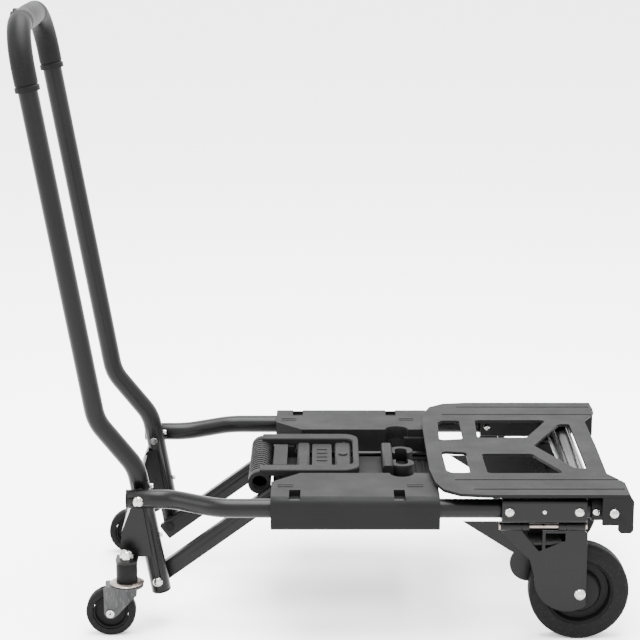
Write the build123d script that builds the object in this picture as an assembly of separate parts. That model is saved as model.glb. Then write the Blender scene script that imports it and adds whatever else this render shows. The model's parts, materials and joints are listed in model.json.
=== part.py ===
from build123d import *
import math
import os

os.makedirs("parts", exist_ok=True)

# Frame: +Z up from the floor, +X towards the toe plate, -Y is the right side.

# rails
rail_r, tube_wall = 12.0, 1.5
rail_z, rail_y, tail_y = 180.0, 181.5, 146.0
rail_front, rail_rear = 350.0, -246.0
bend_start, bend_end, bend_radius = -190.0, -130.0, 60.0

# handle, as a side profile through the pivot
pivot_x = -232.0
handle_r, handle_y = 12.5, 116.7
leg_end_x, leg_end_z = -208.0, 48.0
knee_low_x, knee_low_z = -237.4, 212.6
knee_high_x, knee_high_z = -286.8, 274.7
top_x, top_z = -372.6, 773.0
knee_radius, corner_radius = 55.0, 56.0
grip_r, grip_start_z, button_out = 15.75, 694.0, 6.0
link_x, link_z = -211.4, 61.0
bolt_r = 4.0

# casters
stem_x, stem_y, caster_trail = -249.0, 150.0, 21.0
caster_r, caster_width = 31.7, 20.0
foot_z, foot_r, spacer_r, spacer_z = 97.0, 14.0, 13.5, 71.5
race_r = 22.0

# links and sliding carriage
link_inner, link_outer, link_width = 82.5, 94.0, 22.0
link_drop = 3.0
link_length = 201.0
carriage_rear, carriage_front, carriage_y = -64.0, 122.0, 55.0
carriage_low, carriage_high = 167.0, 193.0
rod_y, rod_z, rod_r = 68.0, 171.5, 4.0

# plastic housings on the rails
housing_rear, housing_front = -64.0, 147.0
housing_in, housing_out = 95.5, 199.5
housing_low, housing_high, housing_split = 156.5, 198.0, 180.0

scoop_x, scoop_r = 103.0, 15.5
notch_places, screw_places = (-34.0, 97.0), (-10.0, 70.0, 128.0)
notch_depth = 8.0

# release loop
loop_front, loop_y, loop_low, loop_high = 49.0, 80.0, 188.5, 197.0
loop_pivot_x, loop_pivot_z = 30.0, 192.5
loop_grip_x, loop_grip_r = -81.0, 15.0

# front wheels and their folding brackets
axle_x, wheel_r, wheel_width = 326.5, 63.5, 29.0
wheel_y = 157.0
sleeve_rear, sleeve_front = 224.0, 330.0
fold_y, fold_z, fold_pin_r = 180.0, 156.0, 3.0
outer_plate_y, inner_plate_y, plate = 176.5, 136.5, 2.5

# toe plate
toe_hinge_x, toe_hinge_z = 363.0, 180.0
toe_rear, toe_mid, toe_front, toe_y = 138.0, 365.0, 382.0, 204.0
toe_high, toe_web = 205.0, 4.0
bar_x, bar_z, bar_r, bar_y = 331.0, 180.0, 16.0, 161.5

sides = {"right": -1, "left": 1}


def save(shape, node, color):
    """Write one sub-part, with the origin under the middle of the whole length."""
    rear_end = top_x - grip_r - button_out
    middle = (rear_end + axle_x + wheel_r) / 2
    placed = Compound(children=[solid.moved(Location((-middle, 0, 0))) for solid in shape.solids()])
    placed.color = Color(*color)
    export_step(placed, f"parts/{node}.step")


def group(solids):
    return Compound(children=list(solids))


def rod_along_y(x, z, y0, y1, r, bore=0.0):
    """A round bar from y0 to y1, with an optional bore."""
    ring = Circle(r) - Circle(bore) if bore else Circle(r)
    plane = Plane(origin=(x, min(y0, y1), z), x_dir=(1, 0, 0), z_dir=(0, 1, 0))
    return extrude(plane * ring, abs(y1 - y0))


def rod_along_x(x0, x1, y, z, r, bore=0.0):
    ring = Circle(r) - Circle(bore) if bore else Circle(r)
    return extrude(Plane(origin=(min(x0, x1), y, z), x_dir=(0, 1, 0), z_dir=(1, 0, 0)) * ring, abs(x1 - x0))


def rod_along_z(x, y, z0, z1, r, bore=0.0):
    ring = Circle(r) - Circle(bore) if bore else Circle(r)
    return extrude(Plane(origin=(x, y, min(z0, z1))) * ring, abs(z1 - z0))


def block(x0, x1, y0, y1, z0, z1):
    size = (abs(x1 - x0), abs(y1 - y0), abs(z1 - z0))
    return Pos((x0 + x1) / 2, (y0 + y1) / 2, (z0 + z1) / 2) * Box(*size)


def side_plate(points, y0, y1):
    """A plate whose outline is drawn in X and Z, between two Y values."""
    face = make_face(Polyline([(x, y0, z) for x, z in points], close=True))
    return extrude(face, abs(y1 - y0), dir=(0, math.copysign(1, y1 - y0), 0))


def dome_head(x, z, y, out, r=7.0, height=4.0):
    """A domed bolt head on a side face, standing out along Y."""
    ball_r = (r * r + height * height) / (2 * height)
    ball = Pos(x, y + out * (height - ball_r), z) * Sphere(ball_r)
    keep = block(x - r - 1, x + r + 1, y, y + out * (height + 1), z - r - 1, z + r + 1)
    return ball & keep


def tube(path, r, bore):
    start = Plane(origin=path @ 0, z_dir=path % 0)
    return sweep(start * (Circle(r) - Circle(bore)), path=path)


def turned(outline, x, y, z, axis="y"):
    """Revolve a list of (radius, distance) points about an axis through a point."""
    face = make_face(Polyline([(r, 0, d) for r, d in outline], close=True))
    solid = revolve(face, Axis.Z)
    turn = {"z": (0, 0, 0), "y": (-90, 0, 0), "x": (0, 90, 0)}[axis]
    return Pos(x, y, z) * Rot(*turn) * solid


# ---- frame ----

def rail(side):
    path = FilletPolyline(
        (rail_rear, side * tail_y, rail_z),
        (bend_start, side * tail_y, rail_z),
        (bend_end, side * rail_y, rail_z),
        (rail_front, side * rail_y, rail_z),
        radius=bend_radius,
    )
    body = tube(path, rail_r, rail_r - tube_wall)
    bolt_hole = rod_along_y(pivot_x, rail_z, side * (tail_y - 20), side * (tail_y + 20), bolt_r + 0.1)
    return body - bolt_hole


def rail_plug(side):
    stem = rod_along_x(rail_rear, rail_rear + 5, side * tail_y, rail_z, rail_r - tube_wall)
    cap = rod_along_x(rail_rear - 2, rail_rear, side * tail_y, rail_z, rail_r)
    return cap + stem


def housing_block(side, z0, z1):
    """One half shell: a rounded block around the rail, hollow inside."""
    y0, y1 = side * housing_in, side * housing_out
    shell = block(housing_rear, housing_front, y0, y1, z0, z1)
    return shell


def rear_corners(shell):
    """The two upright edges at the rear end of a housing."""
    return [e for e in shell.edges().filter_by(Axis.Z) if e.center().X < 0]


def inner_corner(shell):
    return [e for e in rear_corners(shell) if abs(abs(e.center().Y) - housing_in) < 0.1]


def housing_top(side):
    """The upper shell, with a rounded outer edge, a finger scoop and two strap notches."""
    shell = chamfer(inner_corner(housing_block(side, housing_split, housing_high)), 36)
    outer_edges = [
        e for e in shell.edges().filter_by(Axis.X)
        if abs(e.center().Z - housing_high) < 0.1 and abs(abs(e.center().Y) - housing_out) < 0.1
    ]
    shell = fillet(outer_edges, 12)
    shell -= block(housing_rear + 40, scoop_x - scoop_r - 4, side * (housing_in + 4), side * (housing_out - 4),
                   housing_split - 1, housing_high - 4)
    shell -= rod_along_x(housing_rear - 1, housing_front + 1, side * rail_y, rail_z, rail_r + 0.05)
    shell -= rod_along_z(scoop_x, side * housing_in, housing_split - 1, housing_high + 1, scoop_r)
    for x in notch_places:
        shell -= block(x - 7, x + 7, side * (housing_out - 36), side * (housing_out - 8),
                       housing_high - notch_depth, housing_high + 1)
        shell -= block(x - 7, x + 7, side * (housing_out - 14), side * (housing_out - 4),
                       housing_high - notch_depth, housing_high + 1)
    return shell


def housing_base(side):
    """The lower shell under the rail."""
    shell = chamfer(inner_corner(housing_block(side, housing_low, housing_split)), 36)
    outer_edges = [
        e for e in shell.edges().filter_by(Axis.X)
        if abs(e.center().Z - housing_low) < 0.1 and abs(abs(e.center().Y) - housing_out) < 0.1
    ]
    shell = fillet(outer_edges, 5)
    shell -= block(housing_rear + 40, scoop_x - scoop_r - 4, side * (housing_in + 4), side * (housing_out - 4),
                   housing_low + 4, housing_split + 1)
    shell -= rod_along_x(housing_rear - 1, housing_front + 1, side * rail_y, rail_z, rail_r + 0.05)
    for x in screw_places:
        shell -= rod_along_z(x, side * 150, housing_low - 2, housing_low + 5, 4)
    return shell - rod_along_z(scoop_x, side * housing_in, housing_low - 1, housing_split + 1, scoop_r)


def housing_screws():
    return group(
        rod_along_z(x, side * 150, housing_low - 0.8, housing_low + 4, 4)
        for side in sides.values() for x in screw_places
    )


def center_tray():
    """The fixed floor under the carriage, narrow at the rear so that the links can swing past."""
    floor_low, floor_high = 160.0, 163.0
    tray = block(-62, 150, -80, 80, floor_low, floor_high)
    tray += block(112, 150, -housing_in, housing_in, floor_low, floor_high)
    tray += block(147, 150, -housing_in, housing_in, floor_high, 166)
    for i in range(3):
        tray += block(118 + 9 * i, 120.5 + 9 * i, -57, 57, floor_high, 166)
    for s in (-1, 1):
        tray += block(-66, -62, s * 63.5, s * 72.5, floor_low, 176)
        tray += block(147, 150, s * 60, s * housing_in, floor_high, 188)
        tray += block(113, 147, s * (housing_in - 8), s * housing_in, floor_high, 188)
        tray -= rod_along_x(-70, 152, s * rod_y, rod_z, rod_r)
    for x in (-44, 50):
        tray -= block(x, x + 12, -35, 35, floor_low - 5, floor_high + 5)
    return tray


def guide_rods():
    return group(rod_along_x(-66, 150, s * rod_y, rod_z, rod_r) for s in (-1, 1))


def end_bracket(side):
    """The clamp on a rail's front end, with the ear that carries the toe plate."""
    collar = rod_along_x(336, 352, side * rail_y, rail_z, rail_r + 3, rail_r)
    cap = rod_along_x(350, 354, side * rail_y, rail_z, rail_r + 3)
    ear = side_plate([(352, 168), (363, 168), (375, 180), (363, 192), (352, 192)],
                     side * (rail_y - 6), side * (rail_y + 2))
    body = collar + cap + ear
    return body - rod_along_y(toe_hinge_x, toe_hinge_z, side * 160, side * 210, bolt_r + 0.1)


def sleeve(side):
    """The clamp around the rail with the hinge knuckles of the wheel bracket below it."""
    body = block(sleeve_rear, sleeve_front, side * (rail_y - 16), side * (rail_y + 16), 165, 195.5)
    body = fillet(body.edges().filter_by(Axis.X), 5)
    body -= rod_along_x(sleeve_rear - 1, sleeve_front + 1, side * rail_y, rail_z, rail_r)
    for x0, x1 in ((sleeve_rear + 26.5, sleeve_rear + 36), (sleeve_front - 34, sleeve_front - 24.5)):
        knuckle = rod_along_x(x0, x1, side * fold_y, fold_z, 6.0)
        web = block(x0, x1, side * (fold_y - 3), side * (fold_y + 3), fold_z, 166)
        body += knuckle + web
    return body - rod_along_x(sleeve_rear - 1, sleeve_front + 1, side * fold_y, fold_z, fold_pin_r)


def sleeve_bolts():
    heads = []
    for side in sides.values():
        face = side * (rail_y + 16)
        for x in (sleeve_rear + 9.5, sleeve_front - 9.5):
            heads.append(dome_head(x, rail_z, face, side, 6.5, 4.0))
            heads.append(dome_head(x, rail_z, side * (rail_y - 16), -side, 5.0, 3.0))
        heads.append(dome_head((sleeve_rear + sleeve_front) / 2, rail_z, face, side, 3.0, 1.8))
        heads.append(dome_head(341, rail_z, side * (rail_y + rail_r + 3), side, 5.0, 3.2))
    return group(heads)


def pivot_bolt(side):
    inner, outer = side * 100.0, side * (tail_y + rail_r + 0.4)
    shank = rod_along_y(pivot_x, rail_z, inner, outer, bolt_r)
    nut = rod_along_y(pivot_x, rail_z, inner - side * 2, inner, 5.0)
    return shank + dome_head(pivot_x, rail_z, outer, side, 7.0, 4.5) + nut


def toe_bolt(side):
    shank = rod_along_y(toe_hinge_x, toe_hinge_z, side * 172, side * 203.5, bolt_r)
    return shank + dome_head(toe_hinge_x, toe_hinge_z, side * 203.5, side, 6.5, 4.0)


# ---- handle ----

def handle_path():
    corners = [(leg_end_x, leg_end_z), (knee_low_x, knee_low_z), (knee_high_x, knee_high_z), (top_x, top_z)]
    points = [(x, -handle_y, z) for x, z in corners] + [(x, handle_y, z) for x, z in reversed(corners)]
    radii = [knee_radius, knee_radius, corner_radius, corner_radius, knee_radius, knee_radius]
    return FilletPolyline(*points, radius=radii)


def handle_tube():
    body = tube(handle_path(), handle_r, handle_r - tube_wall)
    for side in sides.values():
        body -= rod_along_y(pivot_x, rail_z, side * 90, side * 140, bolt_r + 2.1)
        body -= rod_along_y(link_x, link_z, side * 90, side * 140, bolt_r + 0.05)
    return body


def grip():
    slope = (knee_high_x - top_x) / (top_z - knee_high_z)
    start_x = knee_high_x - slope * (grip_start_z - knee_high_z)
    path = FilletPolyline(
        (start_x, -handle_y, grip_start_z), (top_x, -handle_y, top_z),
        (top_x, handle_y, top_z), (start_x, handle_y, grip_start_z),
        radius=corner_radius,
    )
    sleeve_part = tube(path, grip_r, handle_r + 0.05)
    return sleeve_part - rod_along_x(top_x - 30, top_x - 5, 0, top_z, 11)


def button_seat():
    """The raised ring on the rear of the grip that the button sits in."""
    return rod_along_x(top_x - grip_r - 2.5, top_x - handle_r - 0.2, 0, top_z, 11, 7.3)


def grip_button():
    """A push button that travels towards the grip."""
    rear = top_x - grip_r
    face = rod_along_x(rear - button_out, rear - 0.5, 0, top_z, 7.0)
    return fillet(face.edges().sort_by(Axis.X)[0], 1.5)


def leg_core(side, r):
    """A straight bar that fills the lower leg of the handle."""
    up = Vector(knee_low_x - leg_end_x, 0, knee_low_z - leg_end_z)
    return extrude(Plane(origin=(leg_end_x, side * handle_y, leg_end_z), z_dir=up) * Circle(r), 165)


def caster_bracket():
    """A folded sheet behind both legs, with cheeks on the legs and a round foot for each stem."""
    body = side_plate([(-243, 165), (-240.2, 166), (-253.5, 132), (-256.3, 131)], -131.4, 131.4)
    cheek = [(-243, 165), (-229, 165), (-218, 97), (-240, foot_z), (-258, foot_z), (-258, 114), (-256, 131)]
    for side in sides.values():
        body += side_plate(cheek, side * (handle_y + handle_r + 0.1), side * 131.4)
        body += side_plate(cheek, side * (handle_y - handle_r - 2.3), side * (handle_y - handle_r - 0.1))
        body += block(stem_x - foot_r, stem_x + foot_r, side * 131.4, side * stem_y, foot_z, foot_z + 3)
        body += rod_along_z(stem_x, side * stem_y, foot_z, foot_z + 3, foot_r)
        body += block(-258, -230, side * (handle_y - handle_r - 2.3), side * 131.4, foot_z, foot_z + 3)
        body -= rod_along_z(stem_x, side * stem_y, 80, 110, 5.05)
        body -= block(-250, -234, side * (link_inner - 2), side * (link_outer + 2), 155, 170)
    for side in sides.values():
        body -= leg_core(side, handle_r + 0.05)
    return body


def leg_plug(side):
    direction = Vector(leg_end_x - knee_low_x, 0, leg_end_z - knee_low_z).normalized()
    base = Plane(origin=(leg_end_x, side * handle_y, leg_end_z), z_dir=direction)
    cap = extrude(base * Circle(handle_r), 3)
    cap = fillet(cap.faces().sort_by(Axis.Z)[0].edges(), 2.4)
    return cap + extrude(base * Circle(handle_r - tube_wall), -6)


def link_bolt(side):
    outer = side * (handle_y + handle_r)
    shank = rod_along_y(link_x, link_z, side * 104.2, outer, bolt_r)
    saddle = rod_along_y(link_x, link_z, outer - side * 2.5, outer, 6.5) - leg_core(side, handle_r)
    return shank + saddle + dome_head(link_x, link_z, outer, side, 6.5, 4.0)


def bracket_rivets():
    """Small screws on the front of the legs."""
    heads = []
    for side in sides.values():
        for z in (122, 188):
            x = leg_end_x - (z - leg_end_z) * (leg_end_x - knee_low_x) / (knee_low_z - leg_end_z)
            heads.append(rod_along_x(x + 8, x + 16.5, side * handle_y, z, 3) - leg_core(side, handle_r + 0.1))
    return group(heads)


def caster_spacer(side):
    return rod_along_z(stem_x, side * stem_y, spacer_z, foot_z, spacer_r, 5.05)


def caster_stem(side):
    """The threaded stem and the upper half of the swivel race, fixed to the bracket."""
    y = side * stem_y
    stem = rod_along_z(stem_x, y, 64.5, foot_z + 12, 5.0)
    race = [(5, 68), (race_r - 3, 68), (race_r, 69.5), (race_r - 5, 71.4), (5, 71.4)]
    return stem + turned(race, stem_x, y, 0, "z")


def caster_nut(side):
    """A domed nut on top of the stem."""
    y, seat = side * stem_y, foot_z + 3
    nut = extrude(Plane(origin=(stem_x, y, seat)) * RegularPolygon(8.5, 6), 7.5)
    ball = Pos(stem_x, y, seat + 4.5) * Sphere(9.5)
    crown = ball & block(stem_x - 8, stem_x + 8, y - 8, y + 8, seat + 7.5, seat + 16)
    return nut + crown - rod_along_z(stem_x, y, seat - 1, foot_z + 12, 5.0)


def caster_fork(side):
    y, wheel_x = side * stem_y, stem_x - caster_trail
    ring = rod_along_z(stem_x, y, 64.6, 67.8, race_r - 1.0, 5.3)
    crown = block(wheel_x - 6, stem_x + 14, y - 13.2, y + 13.2, 64.6, 67)
    body = ring + crown
    outline = [(wheel_x - 8, 66), (wheel_x - 8, 31.7), (wheel_x - 5, 25.5), (wheel_x + 3, 24.5),
               (wheel_x + 9, 29), (stem_x + 13, 56), (stem_x + 14, 66)]
    for s in (-1, 1):
        body += side_plate(outline, y + s * 11.2, y + s * 13.2)
    body -= rod_along_z(stem_x, y, 60, 70, 5.3)
    body -= rod_along_y(wheel_x, caster_r, y - 20, y + 20, 3.05)
    return body


def caster_axle(side):
    y, wheel_x = side * stem_y, stem_x - caster_trail
    pin = rod_along_y(wheel_x, caster_r, y - 15.5, y + 15.5, 3.0, 1.2)
    for s in (-1, 1):
        pin += rod_along_y(wheel_x, caster_r, y + s * 13.2, y + s * 15.2, 5.2, 1.2)
    return pin


def caster_tyre(side):
    w, r = caster_width / 2, caster_r
    outline = [(22, -w + 1), (r - 5, -w), (r - 1.2, -w + 2.5), (r, -w + 6),
               (r, w - 6), (r - 1.2, w - 2.5), (r - 5, w), (22, w - 1)]
    return turned(outline, stem_x - caster_trail, side * stem_y, caster_r)


def caster_hub(side):
    w = caster_width / 2
    outline = [(3.05, -w), (8, -w), (9, -3), (19, -2.5), (20, -w + 1.5), (22, -w + 1.2),
               (22, w - 1.2), (20, w - 1.5), (19, 2.5), (9, 3), (8, w), (3.05, w)]
    return turned(outline, stem_x - caster_trail, side * stem_y, caster_r)


# ---- links and carriage ----

link_rise = rail_z - link_z
link_run = math.sqrt(link_length ** 2 - link_rise ** 2)
slider_x = link_x + link_run


def link_bar(side):
    """A flat bar from the leg bolt up to the carriage."""
    angle = math.degrees(math.atan2(link_rise, link_run))
    middle = ((link_x + slider_x) / 2, side * (link_inner + link_outer) / 2, (link_z + rail_z) / 2)
    bar = Pos(*middle) * Rot(0, -angle, 0) * Pos(0, 0, -link_drop) * Box(
        link_length + 22, link_outer - link_inner, link_width)
    bar = fillet(bar.edges().filter_by(Axis.Y).sort_by(Axis.X)[-2:], 8)
    bar -= rod_along_y(link_x, link_z, side * (link_inner - 1), side * (link_outer + 1), bolt_r + 1.1)
    return bar - rod_along_y(slider_x, rail_z, side * (link_inner - 1), side * (link_outer + 1), bolt_r)


def link_pin(side):
    pin = rod_along_y(slider_x, rail_z, side * (link_inner - 1), side * link_outer, bolt_r)
    return pin + rod_along_y(slider_x, rail_z, side * (link_inner - 1.2), side * link_inner, 6.5)


def link_bushing(side):
    """A flanged sleeve on the lower link pivot."""
    liner = rod_along_y(link_x, link_z, side * (link_inner - 1), side * 103.6, bolt_r + 1.05, bolt_r - 1)
    collar = rod_along_y(link_x, link_z, side * (link_outer + 0.4), side * 103.6, 8.5, bolt_r - 1)
    return liner + collar + rod_along_y(link_x, link_z, side * (link_inner - 2.5), side * (link_inner - 0.4), 6)


def pivot_bushing(side):
    """The washer and sleeve between the rail and the handle leg."""
    inside, outside = handle_y + handle_r + 0.3, tail_y - rail_r - 0.3
    washer = rod_along_y(pivot_x, rail_z, side * inside, side * outside, 9.0, bolt_r + 0.05)
    liner = rod_along_y(pivot_x, rail_z, side * 103.4, side * inside, bolt_r + 2.0, bolt_r + 0.05)
    return washer + liner


def slide_shoes():
    """Sleeves on the guide rods, in front of the carriage's arms."""
    return group(rod_along_x(-36, -16, s * rod_y, rod_z, rod_r + 2.5, rod_r + 0.05) for s in (-1, 1))


def carriage():
    """The sliding block: a floor with side walls, crossed by ribs of different height."""
    body = block(carriage_rear, carriage_front, -carriage_y, carriage_y, carriage_low, carriage_low + 5)
    ribs = ((-33, -16, carriage_high), (17, 39, carriage_high), (80, 94, carriage_high))
    for x0, x1, top in ribs:
        rib = block(x0, x1, -50, 50, carriage_low, top)
        body += fillet(rib.edges().filter_by(Axis.Y).group_by(Axis.Z)[-1], 3.5)
    arch = block(-64, -46, -48, 48, carriage_low, carriage_high)
    arch -= block(-65, -45, -36, 36, carriage_low + 5, carriage_high - 5)
    body += fillet(arch.edges().filter_by(Axis.X).group_by(Axis.Z)[-1], 6)
    for s in (-1, 1):
        body += block(carriage_rear, 39, s * (carriage_y - 4), s * carriage_y, carriage_low, carriage_low + 12)
        body += block(slider_x - 10, slider_x + 12, s * (carriage_y - 4), s * 79, 176.5, 187.5)
        body += rod_along_y(loop_pivot_x, loop_pivot_z - 2, s * 50, s * 68, 2.5)
    body -= block(-43, -36, -50, 14, carriage_low - 1, carriage_low + 6)
    body -= rod_along_z(28, 0, carriage_low + 2, 200, 6.35)
    return body


def carriage_cover():
    """The raised block between the ribs, with blank bars on its face."""
    body = block(-13, 13, -48, 48, carriage_low + 5.1, carriage_high - 1)
    body = fillet(body.edges().filter_by(Axis.Z), 4)
    for y in (-26, -10, 6, 22):
        body += block(-7, 7, y, y + 4, carriage_high - 2, carriage_high - 0.3)
    return body


def hook_loops():
    """Two open hooks at the front of the carriage, mouth to mouth."""
    hooks = []
    for s in (-1, 1):
        ring = rod_along_z(106, s * 27, carriage_low + 0.1, 190, 16, 8)
        ring -= block(98, 114, s * 8, s * 28, 160, 200)
        hooks.append(ring - block(60, carriage_front + 0.1, -60, 60, 160, carriage_low + 5.1)
                     - block(85, 94.3, -60, 60, 160, 200))
    return group(hooks)


def lock_button():
    button = rod_along_z(28, 0, carriage_low + 6, carriage_high + 1.5, 6.0)
    return fillet(button.edges().sort_by(Axis.Z)[-1], 1.2)


def release_loop():
    """A flat D-shaped frame that tilts up on the carriage, open at the rear for the grip."""
    outer = block(loop_grip_x, loop_front, -loop_y, loop_y, loop_low, loop_high)
    outer = fillet(outer.edges().filter_by(Axis.Z).filter_by(lambda e: e.center().X > 0), 22)
    inner = block(loop_grip_x - 1, loop_front - 8, 23 - loop_y, loop_y - 23, 180, 200)
    inner = fillet(inner.edges().filter_by(Axis.Z).filter_by(lambda e: e.center().X > 0), 12)
    body = fillet((outer - inner).edges().group_by(Axis.Z)[-1], 2)
    body -= rod_along_y(loop_grip_x, 179, -90, 90, loop_grip_r + 0.05)
    return body - rod_along_y(loop_pivot_x, loop_pivot_z - 2, -70, 70, 2.85)


def release_grip():
    """A ribbed hollow bar across the rear of the loop, slotted below to pass the guide rods."""
    grip_bar = rod_along_y(loop_grip_x, 179, -loop_y, loop_y, loop_grip_r, 10)
    for i in range(-7, 8):
        grip_bar -= rod_along_y(loop_grip_x, 179, i * 9 - 1.5, i * 9 + 1.5, loop_grip_r + 1, loop_grip_r - 1.2)
    for s in (-1, 1):
        grip_bar -= block(loop_grip_x - 20, loop_grip_x + 20, s * (rod_y - 5.5), s * (rod_y + 5.5), 160, 177)
    return grip_bar


# ---- folding wheels ----

def wheel_bracket(side):
    """The outer fork plate: two legs from the fold pin that join in a round plate at the axle."""
    y0, y1 = side * outer_plate_y, side * (outer_plate_y + plate)
    shoulder, right = fold_z - 6.5, sleeve_front + 4
    legs = [(sleeve_rear, fold_z), (sleeve_rear + 26, fold_z), (sleeve_rear + 26, shoulder), (273, 122),
            (299, 133), (sleeve_front - 24, 134), (sleeve_front - 24, fold_z), (sleeve_front, fold_z),
            (sleeve_front, shoulder), (right, shoulder - 4), (right, 76), (290, 60), (270, 80), (262, 110),
            (sleeve_rear + 5, 145), (sleeve_rear, shoulder)]
    body = side_plate(legs, y0, y1)
    body += rod_along_y(axle_x - 16, 83, y0, y1, 42) & block(200, right, y0, y1, 30, 133)
    body += block(277, 281, y0, y1, 122, shoulder)
    body += block(277, sleeve_front - 24, y0, y1, shoulder - 4, shoulder - 0.5)
    for x0, x1 in ((sleeve_rear, sleeve_rear + 26), (sleeve_front - 24, sleeve_front)):
        body += rod_along_x(x0, x1, side * fold_y, fold_z, 6.0)
    body -= rod_along_x(sleeve_rear - 1, sleeve_front + 1, side * fold_y, fold_z, fold_pin_r + 0.05)
    return body - rod_along_y(axle_x, wheel_r, side * 120, side * 190, bolt_r + 0.05)


def wheel_gusset(side):
    """The inner fork plate with its long rear strap and rounded lobe, and the bridge over the wheel."""
    y0, y1 = side * inner_plate_y, side * (inner_plate_y + plate)
    arm = side_plate([(180, 147), (sleeve_front - 26, 147),
                      (sleeve_front + 12, 70), (sleeve_front + 8, 56), (axle_x - 10, 52), (278, 92),
                      (242, 107)], y0, y1)
    lobe = rod_along_y(264.5, 91, y0, y1, 24)
    bridge = block(262, 302, side * inner_plate_y, side * outer_plate_y, 129.5, 132)
    return arm + lobe + bridge - rod_along_y(axle_x, wheel_r, side * 120, side * 190, bolt_r + 0.05)


def fold_pin(side):
    pin = rod_along_x(sleeve_rear, sleeve_front, side * fold_y, fold_z, fold_pin_r)
    for x0, x1 in ((sleeve_rear - 2.5, sleeve_rear), (sleeve_front, sleeve_front + 2.5)):
        pin += rod_along_x(x0, x1, side * fold_y, fold_z, 4.8)
    return pin


def wheel_axle(side):
    """The bolt through the fork, with a spacer each side of the hub."""
    outer = side * (outer_plate_y + plate)
    inner = side * (inner_plate_y - 0.9)
    pin = rod_along_y(axle_x, wheel_r, inner, outer, bolt_r)
    pin += rod_along_y(axle_x, wheel_r, inner, side * inner_plate_y, 7)
    gap = outer_plate_y - (wheel_y + wheel_width / 2)
    pin += rod_along_y(axle_x, wheel_r, side * (outer_plate_y - gap + 0.4), side * outer_plate_y, 8)
    return pin + dome_head(axle_x, wheel_r, outer, side, 8.0, 5.0)


def wheel_tyre(side):
    w, r = wheel_width / 2, wheel_r
    outline = [(42, -w + 1.5), (r - 6, -w), (r - 2, -w + 2), (r, -w + 6), (r, w - 6),
               (r - 2, w - 2), (r - 6, w), (42, w - 1.5)]
    return turned(outline, axle_x, side * wheel_y, wheel_r)


def wheel_hub(side):
    """A dished hub: a broad boss with a deep channel round it, the same from both sides."""
    w = wheel_width / 2
    outline = [(bolt_r + 0.05, -w), (18, -w + 0.5), (25, -w + 2.5), (28, -w + 7), (28.5, -3), (38, -3),
               (40, -w + 3), (42, -w + 1.5), (42, w - 1.5), (40, w - 3), (38, 3), (28.5, 3),
               (28, w - 7), (25, w - 2.5), (18, w - 0.5), (bolt_r + 0.05, w)]
    return turned(outline, axle_x, side * wheel_y, wheel_r)


# ---- toe plate ----

def toe_plate():
    """A ribbed plate folded flat on the frame, with an ear and a heel at each rail end."""
    half = [(toe_mid, 0), (toe_mid - 1, 118), (toe_front - 3, 148), (toe_front, 156), (toe_front, toe_y),
            (205, toe_y), (172, toe_y - 5), (152, toe_y - 22), (143, toe_y - 50), (toe_rear, 100)]
    outline = half + [(x, -y) for x, y in reversed(half) if y]
    low = toe_high - toe_web
    body = extrude(make_face(Polyline([(x, y, low) for x, y in outline], close=True)), toe_web)
    windows = [
        [(158, 25), (190, 30), (190, 115), (166, 115), (160, 105)],
        [(210, 36), (276, 36), (311, 117), (212, 117)],
    ]
    fork = [(283, 0), (325, 95), (330, 98), (340, 98), (341, 94)]
    openings = [[(x, s * y) for x, y in w] for w in windows for s in (-1, 1)]
    openings.append(fork + [(x, -y) for x, y in reversed(fork) if y])
    for points, corner in zip(openings, (6, 6, 6, 6, 3)):
        hole = extrude(make_face(Polyline([(x, y, low - 1) for x, y in points], close=True)), toe_web + 2)
        body -= fillet(hole.edges().filter_by(Axis.Z), corner)
    ear = [(348, toe_high - 1), (toe_front, toe_high - 1), (387, 196), (387, 158), (384, 154.5),
           (371, 154.5), (368, 158), (368, 165), (348, 165)]
    for s in (-1, 1):
        for y, x in ((144, 168), (181, 190)):
            body -= block(x, toe_front - 4, s * (y - 1.2), s * (y + 1.2), toe_high - 1.6, toe_high + 1)
        body += side_plate(ear, s * 199.9, s * 203.5)
        body -= rod_along_y(toe_hinge_x, toe_hinge_z, s * 150, s * 210, bolt_r + 0.05)
    return body


def toe_bar():
    """A round stiffening tube under the front edge of the toe plate, on two saddles."""
    bar = rod_along_y(bar_x, bar_z, -bar_y, bar_y, bar_r, bar_r - tube_wall)
    for s in (-1, 1):
        saddle = block(bar_x - 8, bar_x + 8, s * 118, s * 140, bar_z, toe_high - toe_web)
        bar += saddle - rod_along_y(bar_x, bar_z, -bar_y, bar_y, bar_r - 1)
    return bar


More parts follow.
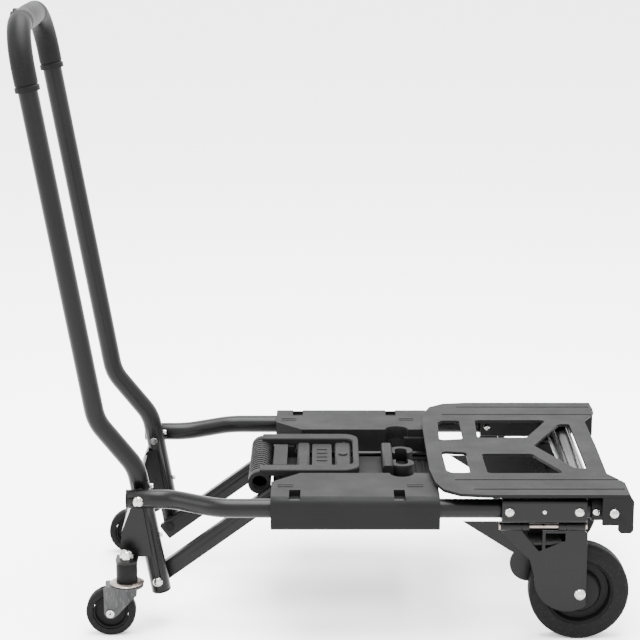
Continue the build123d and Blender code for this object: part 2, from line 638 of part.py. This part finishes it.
def build():
    black, grey, zinc, rubber = (0.09, 0.09, 0.1), (0.2, 0.2, 0.21), (0.75, 0.75, 0.72), (0.12, 0.12, 0.12)
    save(group(rail_plug(s) for s in sides.values()), "rail_plugs", grey)
    save(housing_screws(), "housing_screws", zinc)
    save(center_tray(), "center_tray", grey)
    save(guide_rods(), "guide_rods", zinc)
    save(sleeve_bolts(), "sleeve_bolts", zinc)
    save(group(pivot_bolt(s) for s in sides.values()), "pivot_bolts", zinc)
    save(group(toe_bolt(s) for s in sides.values()), "toe_bolts", zinc)
    save(group(pivot_bushing(s) for s in sides.values()), "pivot_bushings", zinc)
    save(handle_tube(), "handle_tube", black)
    save(grip(), "handle_grip", grey)
    save(caster_bracket(), "caster_bracket", black)
    save(group(leg_plug(s) for s in sides.values()), "leg_plugs", grey)
    save(group(link_bolt(s) for s in sides.values()), "link_bolts", zinc)
    save(bracket_rivets(), "bracket_rivets", zinc)
    save(group(link_bushing(s) for s in sides.values()), "link_bushings", zinc)
    save(group(link_pin(s) for s in sides.values()), "link_pins", zinc)
    save(slide_shoes(), "slide_shoes", grey)
    save(carriage(), "carriage", grey)
    save(carriage_cover(), "carriage_cover", grey)
    save(hook_loops(), "carriage_hooks", grey)
    save(lock_button(), "lock_button", black)
    save(release_loop(), "release_loop", grey)
    save(release_grip(), "release_grip", grey)
    save(toe_plate(), "toe_plate", grey)
    save(toe_bar(), "toe_bar", black)
    save(group(end_bracket(s) for s in sides.values()), "end_brackets", grey)
    save(group(fold_pin(s) for s in sides.values()), "fold_pins", zinc)
    save(group(caster_spacer(s) for s in sides.values()), "caster_spacers", black)
    save(group(caster_stem(s) for s in sides.values()), "caster_stems", zinc)
    save(group(caster_nut(s) for s in sides.values()), "caster_nuts", zinc)
    save(button_seat(), "button_ring", grey)
    save(grip_button(), "grip_button", black)
    for name, side in sides.items():
        save(rail(side), f"rail_{name}", black)
        save(housing_top(side), f"housing_top_{name}", grey)
        save(housing_base(side), f"housing_base_{name}", grey)
        save(sleeve(side), f"wheel_sleeve_{name}", black)
        save(caster_fork(side), f"caster_fork_{name}", zinc)
        save(caster_axle(side), f"caster_axle_{name}", zinc)
        save(caster_tyre(side), f"caster_tyre_{name}", rubber)
        save(caster_hub(side), f"caster_hub_{name}", grey)
        save(link_bar(side), f"link_bar_{name}", black)
        save(wheel_bracket(side), f"wheel_bracket_{name}", black)
        save(wheel_gusset(side), f"wheel_gusset_{name}", black)
        save(wheel_axle(side), f"wheel_axle_{name}", zinc)
        save(wheel_tyre(side), f"wheel_tyre_{name}", rubber)
        save(wheel_hub(side), f"wheel_hub_{name}", grey)


build()
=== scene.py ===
import json
import math

import bmesh
import bpy
from mathutils import Matrix, Vector


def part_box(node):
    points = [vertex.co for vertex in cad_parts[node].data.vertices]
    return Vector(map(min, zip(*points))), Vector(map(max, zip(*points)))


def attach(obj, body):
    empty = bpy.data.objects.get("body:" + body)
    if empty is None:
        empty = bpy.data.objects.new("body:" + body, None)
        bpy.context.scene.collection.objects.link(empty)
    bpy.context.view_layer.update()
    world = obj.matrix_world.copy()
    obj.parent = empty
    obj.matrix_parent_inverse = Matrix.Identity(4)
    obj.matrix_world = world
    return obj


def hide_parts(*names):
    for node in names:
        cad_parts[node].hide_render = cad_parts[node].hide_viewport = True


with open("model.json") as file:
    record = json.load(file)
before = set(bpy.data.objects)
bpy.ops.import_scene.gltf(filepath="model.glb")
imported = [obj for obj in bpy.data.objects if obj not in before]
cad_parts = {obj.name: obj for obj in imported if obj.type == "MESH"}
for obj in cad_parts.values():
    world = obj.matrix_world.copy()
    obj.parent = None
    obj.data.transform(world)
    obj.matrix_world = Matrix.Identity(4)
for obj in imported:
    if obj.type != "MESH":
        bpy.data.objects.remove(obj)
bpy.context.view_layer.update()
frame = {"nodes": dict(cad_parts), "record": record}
nodes = frame["nodes"]
sides = {"right": -1, "left": 1}
mm = 0.001
print("frame loaded with", len(nodes), "nodes")


# Small helpers. Lengths in the dictionaries are in mm.

def lowHigh(name):
    low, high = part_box(name)
    return Vector(low), Vector(high)


def middleOf(name):
    low, high = lowHigh(name)
    return (low + high) / 2


def meshPiece(name, bm, body, material, replaced=()):
    bmesh.ops.remove_doubles(bm, verts=bm.verts, dist=0.00002)
    bmesh.ops.recalc_face_normals(bm, faces=bm.faces)
    mesh = bpy.data.meshes.new(name)
    bm.to_mesh(mesh)
    bm.free()
    piece = bpy.data.objects.new(name, mesh)
    bpy.context.scene.collection.objects.link(piece)
    mesh.materials.append(material)
    mesh.shade_smooth()
    mesh.set_sharp_from_angle(angle=math.radians(35))
    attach(piece, body)
    if replaced:
        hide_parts(*replaced)
    return piece


# Finishes: a broad patchy tone, fine flecks and a grain bump, all on object coordinates.

def makeFinish(name, look):
    material = bpy.data.materials.new(name)
    material.use_nodes = True
    tree = material.node_tree
    shader = tree.nodes["Principled BSDF"]
    link = tree.links.new

    place = tree.nodes.new("ShaderNodeTexCoord")
    stretch = tree.nodes.new("ShaderNodeMapping")
    stretch.inputs["Scale"].default_value = look.get("stretch", (1, 1, 1))
    link(place.outputs["Object"], stretch.inputs["Vector"])

    def noise(scale, detail, rough=0.55):
        node = tree.nodes.new("ShaderNodeTexNoise")
        node.inputs["Scale"].default_value = scale
        node.inputs["Detail"].default_value = detail
        node.inputs["Roughness"].default_value = rough
        link(stretch.outputs["Vector"], node.inputs["Vector"])
        return node

    def remap(source, low, high, start=0.3, end=0.7):
        node = tree.nodes.new("ShaderNodeMapRange")
        node.inputs["From Min"].default_value = start
        node.inputs["From Max"].default_value = end
        node.inputs["To Min"].default_value = low
        node.inputs["To Max"].default_value = high
        link(source, node.inputs["Value"])
        return node.outputs["Result"]

    broad = noise(look["patchScale"], 4)
    grain = noise(look["grainScale"], 2, 0.6)
    speck = noise(look["grainScale"] * 0.31, 3, 0.7)

    tone = tree.nodes.new("ShaderNodeMix")
    tone.data_type = "RGBA"
    tone.inputs[6].default_value = (*look["darkColor"], 1)
    tone.inputs[7].default_value = (*look["lightColor"], 1)
    link(remap(broad.outputs["Fac"], 0, 1), tone.inputs[0])

    flecks = tree.nodes.new("ShaderNodeMix")
    flecks.data_type = "RGBA"
    flecks.inputs[7].default_value = (*look["fleckColor"], 1)
    link(remap(speck.outputs["Fac"], 0, look["fleckAmount"], 0.52, 0.72), flecks.inputs[0])
    link(tone.outputs[2], flecks.inputs[6])
    link(flecks.outputs[2], shader.inputs["Base Color"])

    gloss = tree.nodes.new("ShaderNodeMath")
    gloss.operation = "ADD"
    link(remap(broad.outputs["Fac"], look["roughLow"], look["roughHigh"]), gloss.inputs[0])
    link(remap(speck.outputs["Fac"], -0.04, 0.05), gloss.inputs[1])
    link(gloss.outputs[0], shader.inputs["Roughness"])

    bump = tree.nodes.new("ShaderNodeBump")
    bump.inputs["Strength"].default_value = look["bumpStrength"]
    bump.inputs["Distance"].default_value = look["bumpDepth"]
    link(grain.outputs["Fac"], bump.inputs["Height"])
    link(bump.outputs["Normal"], shader.inputs["Normal"])

    shader.inputs["Metallic"].default_value = look.get("metallic", 0)
    shader.inputs["Specular IOR Level"].default_value = look.get("specular", 0.07)
    shader.inputs["Coat Weight"].default_value = look.get("coat", 0)
    shader.inputs["Coat Roughness"].default_value = look.get("coatRoughness", 0.2)
    shader.inputs["Anisotropic"].default_value = look.get("anisotropic", 0)
    return material


powderCoatLook = {
    "darkColor": (0.0009, 0.0009, 0.00095), "lightColor": (0.0014, 0.0014, 0.00145),
    "fleckColor": (0.003, 0.003, 0.0031), "fleckAmount": 0.25,
    "patchScale": 14, "grainScale": 1500, "roughLow": 0.27, "roughHigh": 0.36,
    "bumpStrength": 0.15, "bumpDepth": 0.0001, "specular": 0.12, "coat": 0.01, "coatRoughness": 0.22,
}
deckPlasticLook = {
    "darkColor": (0.0028, 0.0028, 0.0029), "lightColor": (0.0044, 0.0044, 0.0045),
    "fleckColor": (0.009, 0.009, 0.0092), "fleckAmount": 0.2,
    "patchScale": 22, "grainScale": 2200, "roughLow": 0.5, "roughHigh": 0.62,
    "bumpStrength": 0.4, "bumpDepth": 0.0002,
}
gripPlasticLook = {
    "darkColor": (0.0016, 0.0016, 0.00165), "lightColor": (0.0026, 0.0026, 0.0027),
    "fleckColor": (0.015, 0.015, 0.0152), "fleckAmount": 0.2,
    "patchScale": 30, "grainScale": 1700, "roughLow": 0.44, "roughHigh": 0.56,
    "bumpStrength": 0.35, "bumpDepth": 0.0002,
}
rubberLook = {
    "darkColor": (0.0022, 0.0022, 0.00225), "lightColor": (0.0036, 0.0036, 0.00365),
    "fleckColor": (0.018, 0.018, 0.0178), "fleckAmount": 0.3,
    "patchScale": 26, "grainScale": 900, "roughLow": 0.6, "roughHigh": 0.78,
    "bumpStrength": 0.35, "bumpDepth": 0.0003,
}
hubLook = {
    "darkColor": (0.0018, 0.0018, 0.00185), "lightColor": (0.0028, 0.0028, 0.0029),
    "fleckColor": (0.015, 0.015, 0.0152), "fleckAmount": 0.15,
    "patchScale": 30, "grainScale": 1800, "roughLow": 0.45, "roughHigh": 0.55,
    "bumpStrength": 0.3, "bumpDepth": 0.0002,
}
boltLook = {
    "darkColor": (0.22, 0.217, 0.21), "lightColor": (0.34, 0.335, 0.33),
    "fleckColor": (0.4, 0.38, 0.35), "fleckAmount": 0.25,
    "patchScale": 120, "grainScale": 2600, "roughLow": 0.1, "roughHigh": 0.2,
    "bumpStrength": 0.08, "bumpDepth": 0.0001, "metallic": 1,
}
zincLook = {
    "darkColor": (0.12, 0.1, 0.088), "lightColor": (0.26, 0.225, 0.2),
    "fleckColor": (0.25, 0.22, 0.2), "fleckAmount": 0.3,
    "patchScale": 70, "grainScale": 1600, "roughLow": 0.24, "roughHigh": 0.4,
    "bumpStrength": 0.2, "bumpDepth": 0.0001, "metallic": 1,
}
forkSteelLook = {
    "darkColor": (0.02, 0.02, 0.0205), "lightColor": (0.045, 0.045, 0.046),
    "fleckColor": (0.12, 0.12, 0.12), "fleckAmount": 0.3, "stretch": (1, 1, 0.12),
    "patchScale": 60, "grainScale": 1500, "roughLow": 0.34, "roughHigh": 0.5,
    "bumpStrength": 0.2, "bumpDepth": 0.0001, "metallic": 0.9,
}

powderCoat = makeFinish("powderCoat", powderCoatLook)
deckPlastic = makeFinish("deckPlastic", deckPlasticLook)
gripPlastic = makeFinish("gripPlastic", gripPlasticLook)
rubber = makeFinish("rubber", rubberLook)
hubPlastic = makeFinish("hubPlastic", hubLook)
boltSteel = makeFinish("boltSteel", boltLook)
zincSteel = makeFinish("zincSteel", zincLook)
forkSteel = makeFinish("forkSteel", forkSteelLook)
print("finishes made")

slotFinish = {
    "frame_paint": powderCoat, "housing_plastic": deckPlastic, "grip_plastic": gripPlastic,
    "bolt_steel": boltSteel, "zinc_steel": zincSteel, "fork_steel": forkSteel,
    "tyre_rubber": rubber, "hub_plastic": hubPlastic,
}


# The sub-parts keep their shape and get a finish and softened edges.
edgeRounding = {"frame_paint": 0.7, "housing_plastic": 0.9, "grip_plastic": 0.6, "bolt_steel": 0.3,
                "zinc_steel": 0.3, "fork_steel": 0.3, "tyre_rubber": 0.6, "hub_plastic": 0.6}


def roundEdges(piece, width):
    weld = piece.modifiers.new("weld", "WELD")
    weld.merge_threshold = 0.00001
    bevel = piece.modifiers.new("softEdge", "BEVEL")
    bevel.width = width * mm
    bevel.segments = 2
    bevel.limit_method = "ANGLE"
    bevel.angle_limit = math.radians(38)
    bevel.use_clamp_overlap = True
    bevel.harden_normals = True


for part in frame["record"]["subparts"]:
    piece = nodes[part["node"]]
    slot = part["material_slot"]
    piece.data.materials.clear()
    piece.data.materials.append(slotFinish[slot])
    roundEdges(piece, edgeRounding[slot])
print("sub-parts finished")


# A closed outline of (place along the axle, radius) points, spun about the axle.
def spunRing(outline, center, steps):
    bm = bmesh.new()
    ring = [bm.verts.new(center + Vector((0, along, radius)) * mm) for along, radius in outline]
    edges = [bm.edges.new((ring[i], ring[(i + 1) % len(ring)])) for i in range(len(ring))]
    bmesh.ops.spin(bm, geom=ring + edges, cent=center, axis=(0, 1, 0), angle=math.tau,
                   steps=steps, use_merge=True)
    return bm


def tyreOutline(look):
    half = look["width"] / 2
    outer = look["outer"]
    shoulder = look["shoulder"]
    points = [(-half + look["beadInset"], look["inner"]), (-half, look["inner"] + look["beadHeight"])]
    points.append((-half, outer - shoulder * 1.35))
    points.append((-half + 0.5, outer - shoulder * 1.2))
    for i in range(9):
        turn = math.pi / 2 * i / 8
        along = -half + 0.5 + shoulder * (1 - math.cos(turn))
        points.append((along, outer - shoulder * (1 - math.sin(turn))))
    groove = look["grooveAt"]
    points += [(-groove - 0.6, outer), (-groove, outer - 0.7), (-groove + 0.6, outer)]
    return points + [(-along, radius) for along, radius in reversed(points)]


wheelTyre = {"inner": 42.2, "shoulder": 5.5, "beadInset": 1.5,
             "beadHeight": 1.6, "grooveAt": 7.6, "steps": 128}
casterTyre = {"shoulder": 4.0, "beadInset": 0.8, "beadHeight": 1.0, "grooveAt": 4.6, "depth": 9,
              "steps": 96}

for side in sides:
    for name, body, look in ((f"wheel_tyre_{side}", f"wheel_{side}", wheelTyre),
                             (f"caster_tyre_{side}", f"caster_wheel_{side}", casterTyre)):
        low, high = lowHigh(name)
        fitted = dict(look)
        fitted["width"] = (high.y - low.y) / mm
        fitted["outer"] = (high.z - low.z) / 2 / mm
        if "depth" in look:
            fitted["inner"] = fitted["outer"] - look["depth"]
        tyre = spunRing(tyreOutline(fitted), middleOf(name), look["steps"])
        meshPiece(name + "Skin", tyre, body, rubber, (name,))
print("tyres spun")


gripLook = {"shift": 2.175, "topX": -372.6, "topZ": 773.0, "startX": -359.0, "startZ": 694.0,
            "halfWidth": 116.7, "corner": 56.0, "bore": 12.65, "full": 15.7, "body": 14.9,
            "collar": 7.0, "grooveDepth": 0.8, "collarGap": 1.8, "ridges": (58, 64, 70),
            "ridgeHalf": 1.0, "palm": 52, "around": 56}


# The middle line of the hand grip: up one leg, round the corner, across, and down again.
def gripLine(look):
    foot = Vector((look["startX"] + look["shift"], 0, look["startZ"]))
    top = Vector((look["topX"] + look["shift"], 0, look["topZ"]))
    rise = (top - foot).normalized()
    across = Vector((0, 1, 0))
    reach = (top - foot).length
    wide = look["halfWidth"]
    bend = look["corner"]
    points = []
    straight = reach - bend
    for i in range(25):
        points.append((foot - across * wide + rise * (straight * i / 24), rise))
    hub = foot + rise * straight - across * (wide - bend)
    for i in range(1, 49):
        turn = math.pi / 2 * i / 48
        way = rise * math.cos(turn) + across * math.sin(turn)
        points.append((hub - across * bend * math.cos(turn) + rise * bend * math.sin(turn), way))
    run = 2 * (wide - bend)
    crown = top - across * (wide - bend)
    for i in range(1, 61):
        points.append((crown + across * (run * i / 120), across))
    mirrored = [(Vector((p.x, -p.y, p.z)), Vector((-w.x, w.y, -w.z))) for p, w in reversed(points[:-1])]
    return points + mirrored


def gripRadius(fromEnd, fromMiddle, look):
    if fromEnd < look["collar"]:
        return look["full"]
    if fromEnd < look["collar"] + look["collarGap"]:
        return look["body"] - look["grooveDepth"]
    for ridge in look["ridges"]:
        if abs(fromMiddle - ridge) < look["ridgeHalf"]:
            return look["body"] - look["grooveDepth"]
    palm = math.cos(min(1, fromMiddle / look["palm"]) * math.pi / 2)
    return look["body"] + (look["full"] - look["body"]) * palm


def makeGrip(look):
    line = gripLine(look)
    travelled = [0.0]
    for (here, _), (following, _) in zip(line, line[1:]):
        travelled.append(travelled[-1] + (following - here).length)
    total = travelled[-1]
    bm = bmesh.new()
    rings = []
    lean = (Vector((look["topX"] - look["startX"], 0, look["topZ"] - look["startZ"]))).normalized()
    flat = lean.cross(Vector((0, 1, 0)))
    stations = list(zip(line, travelled))
    stations = [stations[0]] + stations + [stations[-1]]
    for index, ((place, way), distance) in enumerate(stations):
        fromEnd = min(distance, total - distance)
        radius = gripRadius(fromEnd, abs(distance - total / 2), look)
        if index in (0, len(stations) - 1):
            radius = look["bore"]
        up = way.cross(flat)
        ring = []
        for i in range(look["around"]):
            turn = math.tau * i / look["around"]
            offset = (flat * math.cos(turn) + up * math.sin(turn)) * radius
            ring.append(bm.verts.new((place + offset) * mm))
        rings.append(ring)
    for inner, outer in zip(rings, rings[1:]):
        for i in range(look["around"]):
            j = (i + 1) % look["around"]
            bm.faces.new((inner[i], inner[j], outer[j], outer[i]))
    return bm


meshPiece("handGripSkin", makeGrip(gripLook), "handle", gripPlastic, ("handle_grip",))
print("hand grip shaped")


def softBlock(bm, center, size, edgeWidth):
    made = bmesh.ops.create_cube(bm, size=1, matrix=Matrix.Translation(center) @ Matrix.Diagonal((*size, 1)))
    edges = {edge for vert in made["verts"] for edge in vert.link_edges}
    bmesh.ops.bevel(bm, geom=list(edges), offset=edgeWidth, offset_type="OFFSET", segments=3, profile=0.5,
                    affect="EDGES", material=-1)


# Low blank bars on the deck, near both ends of each housing.
badgeLook = {"length": 20, "width": 4, "height": 0.5, "edge": 0.2, "ends": (-46, 118), "across": 146,
             "rows": (-4, 3), "shift": 2.175}


def makeBadges(look, sign, top):
    bm = bmesh.new()
    for x in look["ends"]:
        for row in look["rows"]:
            center = Vector((x + look["shift"], sign * (look["across"] + row), 0)) * mm
            center.z = top + look["height"] * mm / 2
            size = Vector((look["length"], look["width"], look["height"])) * mm
            softBlock(bm, center, size, look["edge"] * mm)
    return bm


for side, sign in sides.items():
    top = lowHigh(f"housing_top_{side}")[1].z
    meshPiece(f"badges_{side}", makeBadges(badgeLook, sign, top), "frame", deckPlastic)
print("deck bars placed")


# Floor, light and camera.

stageLook = {"floorSize": 30.0, "floorColor": (0.93, 0.93, 0.93), "worldStrength": 4.6}


def makeFloor():
    bm = bmesh.new()
    bmesh.ops.create_grid(bm, x_segments=1, y_segments=1, size=stageLook["floorSize"] / 2)
    mesh = bpy.data.meshes.new("floor")
    bm.to_mesh(mesh)
    bm.free()
    floor = bpy.data.objects.new("floor", mesh)
    bpy.context.scene.collection.objects.link(floor)
    paper = bpy.data.materials.new("floorPaper")
    paper.use_nodes = True
    shader = paper.node_tree.nodes["Principled BSDF"]
    shader.inputs["Base Color"].default_value = (*stageLook["floorColor"], 1)
    shader.inputs["Roughness"].default_value = 0.9
    mesh.materials.append(paper)


def areaLight(name, spot, aim, size, power):
    lamp = bpy.data.lights.new(name, "AREA")
    lamp.shape = "RECTANGLE"
    lamp.size, lamp.size_y = size
    lamp.energy = power
    holder = bpy.data.objects.new(name, lamp)
    bpy.context.scene.collection.objects.link(holder)
    holder.location = spot
    holder.rotation_euler = (Vector(aim) - Vector(spot)).to_track_quat("-Z", "Y").to_euler()


makeFloor()
world = bpy.data.worlds.new("studio")
world.use_nodes = True
world.node_tree.nodes["Background"].inputs["Color"].default_value = (1, 1, 1, 1)
world.node_tree.nodes["Background"].inputs["Strength"].default_value = stageLook["worldStrength"]
bpy.context.scene.world = world
areaLight("topLight", (0.1, 0.0, 2.6), (0, 0, 0.2), (2.4, 1.6), 300)
areaLight("leftLight", (-2.2, -1.2, 1.6), (0, 0, 0.3), (1.4, 1.6), 50)
areaLight("frontLight", (1.2, -3.0, 1.2), (0.1, 0, 0.2), (1.6, 1.0), 6)

cameraData = bpy.data.cameras.new("camera")
cameraData.lens = 115.3
cameraData.sensor_width = 36
cameraData.clip_end = 50
cameraData.shift_x = -0.003
camera = bpy.data.objects.new("camera", cameraData)
bpy.context.scene.collection.objects.link(camera)
camera.location = (0.0022, -2.6115, 1.027)
camera.rotation_euler = (math.radians(90 - 13.97), 0, 0)
bpy.context.scene.camera = camera
print("stage, lights and camera placed")
